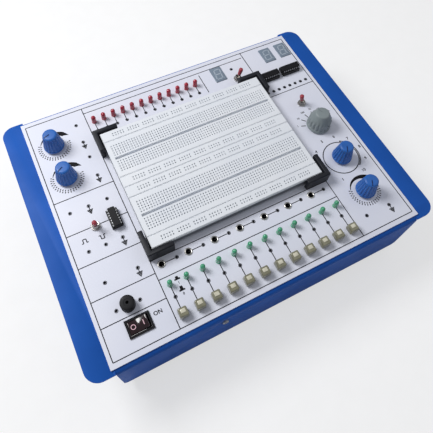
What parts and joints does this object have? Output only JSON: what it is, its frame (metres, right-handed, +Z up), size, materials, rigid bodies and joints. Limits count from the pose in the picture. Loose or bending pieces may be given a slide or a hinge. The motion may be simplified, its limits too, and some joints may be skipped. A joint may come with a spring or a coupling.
{
  "type": "digital logic trainer",
  "caption": "Benchtop box with a white control panel, a breadboard block in the middle, indicator lamps, sockets, switches and knobs around it.",
  "frame": {"origin": "under the middle of the top plate, on the surface the rubber feet stand on", "axes": "+X to the user's right along the breadboard, -Y towards the user, +Z up out of the panel"},
  "size_m": [0.335, 0.2592, 0.0923],
  "materials": {
    "blue_powder_coat": "semi-gloss powder coat on sheet steel",
    "grey_sheet": "dark blue powder coat on sheet steel",
    "black_rubber": "moulded, matt",
    "screw_steel": "zinc-plated",
    "panel_white": "satin printed laminate",
    "socket_black": "moulded, satin",
    "nickel": "nickel-plated brass",
    "board_white": "moulded, satin",
    "aluminium_plate": "mill finish",
    "bracket_black": "moulded, fine texture",
    "red_lens": "tinted diffusing resin",
    "green_lens": "tinted diffusing resin",
    "display_face": "smoked resin",
    "chip_black": "moulded epoxy",
    "rocker_black": "moulded, glossy",
    "zinc_plate": "zinc-plated",
    "iron_core": "varnished laminations",
    "fibre_board": "glass-fibre board",
    "brass_hex": "turned",
    "rocker_red": "moulded, translucent dark red",
    "grey_knob": "moulded, satin",
    "shaft_steel": "turned",
    "blue_knob": "moulded, satin",
    "red_sleeve": "soft vinyl",
    "olive_cap": "moulded, semi-gloss"
  },
  "bodies": {
    "case": {"cover": "blue_powder_coat", "chassis": "grey_sheet", "rubber_feet": "black_rubber", "case_screws": "screw_steel", "panel_board": "panel_white", "mini_sockets": "socket_black", "banana_sockets": "nickel", "terminal_strips": "board_white", "bus_strips": "board_white", "board_back_plate": "aluminium_plate", "board_brackets": "bracket_black", "red_leds": "red_lens", "green_leds": "green_lens", "digit_displays": "display_face", "integrated_circuits": "chip_black", "circuit_sockets": "socket_black", "buzzer": "bracket_black", "push_switches": "socket_black", "toggle_switches": "nickel", "toggle_nuts": "nickel", "rocker_frame": "rocker_black", "potentiometers": "zinc_plate", "rotary_switch": "zinc_plate", "control_nuts": "nickel", "mains_inlet": "rocker_black", "inlet_screws": "screw_steel", "transformer": "iron_core", "supply_board": "fibre_board", "supply_parts": "aluminium_plate", "standoffs": "brass_hex"},
    "coarse_volt": {"coarse_volt_knob": "blue_knob", "coarse_volt_shaft": "shaft_steel"},
    "fine_volt": {"fine_volt_knob": "blue_knob", "fine_volt_shaft": "shaft_steel"},
    "frequency": {"frequency_knob": "blue_knob", "frequency_shaft": "shaft_steel"},
    "amplitude": {"amplitude_knob": "blue_knob", "amplitude_shaft": "shaft_steel"},
    "selector": {"selector_knob": "grey_knob", "selector_shaft": "shaft_steel"},
    "toggle_1": {"toggle_lever_1": "nickel", "toggle_sleeve_1": "red_sleeve"},
    "toggle_2": {"toggle_lever_2": "nickel", "toggle_sleeve_2": "red_sleeve"},
    "toggle_3": {"toggle_lever_3": "nickel", "toggle_sleeve_3": "red_sleeve"},
    "rocker": {"power_rocker": "rocker_red"},
    "push_button_01": {"push_button_01": "olive_cap"},
    "push_button_02": {"push_button_02": "olive_cap"},
    "push_button_03": {"push_button_03": "olive_cap"},
    "push_button_04": {"push_button_04": "olive_cap"},
    "push_button_05": {"push_button_05": "olive_cap"},
    "push_button_06": {"push_button_06": "olive_cap"},
    "push_button_07": {"push_button_07": "olive_cap"},
    "push_button_08": {"push_button_08": "olive_cap"},
    "push_button_09": {"push_button_09": "olive_cap"},
    "push_button_10": {"push_button_10": "olive_cap"},
    "push_button_11": {"push_button_11": "olive_cap"},
    "push_button_12": {"push_button_12": "olive_cap"}
  },
  "joints": [
    {"name": "coarse_volt_turn", "type": "hinge", "parent": "case", "child": "coarse_volt", "pos_m": [-0.1258, 0.0863, 0.0734], "axis": [0, 0, 1], "range_deg": [-258, 42]},
    {"name": "fine_volt_turn", "type": "hinge", "parent": "case", "child": "fine_volt", "pos_m": [-0.1258, 0.0486, 0.0734], "axis": [0, 0, 1], "range_deg": [-274, 26]},
    {"name": "frequency_turn", "type": "hinge", "parent": "case", "child": "frequency", "pos_m": [0.118, -0.0416, 0.0734], "axis": [0, 0, 1], "range_deg": [-300, 0]},
    {"name": "amplitude_turn", "type": "hinge", "parent": "case", "child": "amplitude", "pos_m": [0.1176, -0.0814, 0.0734], "axis": [0, 0, 1], "range_deg": [-300, 0]},
    {"name": "selector_turn", "type": "hinge", "parent": "case", "child": "selector", "pos_m": [0.1186, 0.0004, 0.0722], "axis": [0, 0, 1], "range_deg": [-78, 52]},
    {"name": "toggle_1_flip", "type": "hinge", "parent": "case", "child": "toggle_1", "pos_m": [-0.1188, -0.0074, 0.0726], "axis": [1, 0, 0], "range_deg": [-24, 0]},
    {"name": "toggle_2_flip", "type": "hinge", "parent": "case", "child": "toggle_2", "pos_m": [0.0727, 0.087, 0.0726], "axis": [0, 1, 0], "range_deg": [-24, 0]},
    {"name": "toggle_3_flip", "type": "hinge", "parent": "case", "child": "toggle_3", "pos_m": [0.1175, 0.0303, 0.0726], "axis": [0, 1, 0], "range_deg": [0, 24]},
    {"name": "rocker_tilt", "type": "hinge", "parent": "case", "child": "rocker", "pos_m": [-0.1165, -0.1009, 0.07], "axis": [0, 1, 0], "range_deg": [0, 16]},
    {"name": "push_button_01_press", "type": "slide", "parent": "case", "child": "push_button_01", "axis": [0, 0, -1], "range_m": [0, 0.0018], "stiffness_N_per_m": 600, "springref_m": -0.001},
    {"name": "push_button_02_press", "type": "slide", "parent": "case", "child": "push_button_02", "axis": [0, 0, -1], "range_m": [0, 0.0018], "stiffness_N_per_m": 600, "springref_m": -0.001},
    {"name": "push_button_03_press", "type": "slide", "parent": "case", "child": "push_button_03", "axis": [0, 0, -1], "range_m": [0, 0.0018], "stiffness_N_per_m": 600, "springref_m": -0.001},
    {"name": "push_button_04_press", "type": "slide", "parent": "case", "child": "push_button_04", "axis": [0, 0, -1], "range_m": [0, 0.0018], "stiffness_N_per_m": 600, "springref_m": -0.001},
    {"name": "push_button_05_press", "type": "slide", "parent": "case", "child": "push_button_05", "axis": [0, 0, -1], "range_m": [0, 0.0018], "stiffness_N_per_m": 600, "springref_m": -0.001},
    {"name": "push_button_06_press", "type": "slide", "parent": "case", "child": "push_button_06", "axis": [0, 0, -1], "range_m": [0, 0.0018], "stiffness_N_per_m": 600, "springref_m": -0.001},
    {"name": "push_button_07_press", "type": "slide", "parent": "case", "child": "push_button_07", "axis": [0, 0, -1], "range_m": [0, 0.0018], "stiffness_N_per_m": 600, "springref_m": -0.001},
    {"name": "push_button_08_press", "type": "slide", "parent": "case", "child": "push_button_08", "axis": [0, 0, -1], "range_m": [0, 0.0018], "stiffness_N_per_m": 600, "springref_m": -0.001},
    {"name": "push_button_09_press", "type": "slide", "parent": "case", "child": "push_button_09", "axis": [0, 0, -1], "range_m": [0, 0.0018], "stiffness_N_per_m": 600, "springref_m": -0.001},
    {"name": "push_button_10_press", "type": "slide", "parent": "case", "child": "push_button_10", "axis": [0, 0, -1], "range_m": [0, 0.0018], "stiffness_N_per_m": 600, "springref_m": -0.001},
    {"name": "push_button_11_press", "type": "slide", "parent": "case", "child": "push_button_11", "axis": [0, 0, -1], "range_m": [0, 0.0018], "stiffness_N_per_m": 600, "springref_m": -0.001},
    {"name": "push_button_12_press", "type": "slide", "parent": "case", "child": "push_button_12", "axis": [0, 0, -1], "range_m": [0, 0.0018], "stiffness_N_per_m": 600, "springref_m": -0.001}
  ]
}
